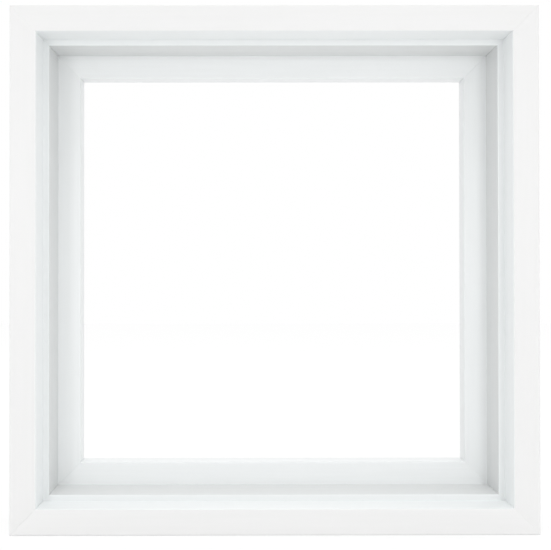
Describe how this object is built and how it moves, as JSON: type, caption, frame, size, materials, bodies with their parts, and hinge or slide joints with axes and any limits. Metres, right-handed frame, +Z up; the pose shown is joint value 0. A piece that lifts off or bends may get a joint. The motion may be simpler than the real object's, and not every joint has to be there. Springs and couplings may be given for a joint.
{
  "type": "floating picture frame",
  "caption": "White floating frame for a square stretched canvas: mitred stepped moulding, open in the middle, with swinging D-ring hangers at the back.",
  "frame": {"origin": "middle of the bottom rail's outer face, on which the frame stands", "axes": "+Z up, -Y out of the front, +X to the right as seen from the front"},
  "size_m": [0.24, 0.0445, 0.24],
  "materials": {
    "white_lacquer": "satin white lacquer over wood",
    "nail_steel": "bare hardened strip",
    "zinc_plate": "bright zinc plating",
    "soft_bumper": "matt translucent"
  },
  "bodies": {
    "frame": {"bottom_rail": "white_lacquer", "top_rail": "white_lacquer", "left_rail": "white_lacquer", "right_rail": "white_lacquer", "bottom_left_outer_v_nail": "nail_steel", "bottom_left_inner_v_nail": "nail_steel", "top_left_outer_v_nail": "nail_steel", "top_left_inner_v_nail": "nail_steel", "top_right_outer_v_nail": "nail_steel", "top_right_inner_v_nail": "nail_steel", "bottom_right_outer_v_nail": "nail_steel", "bottom_right_inner_v_nail": "nail_steel", "left_hanger_strap": "zinc_plate", "right_hanger_strap": "zinc_plate", "left_hanger_screw": "zinc_plate", "right_hanger_screw": "zinc_plate", "left_bumper": "soft_bumper", "right_bumper": "soft_bumper"},
    "left_ring": {"left_d_ring": "zinc_plate"},
    "right_ring": {"right_d_ring": "zinc_plate"}
  },
  "joints": [
    {"name": "left_ring_swing", "type": "hinge", "parent": "frame", "child": "left_ring", "pos_m": [-0.109, 0.02225, 0.18], "axis": [1, 0, 0], "range_deg": [0, 180]},
    {"name": "right_ring_swing", "type": "hinge", "parent": "frame", "child": "right_ring", "pos_m": [0.109, 0.02225, 0.18], "axis": [1, 0, 0], "range_deg": [0, 180]}
  ]
}
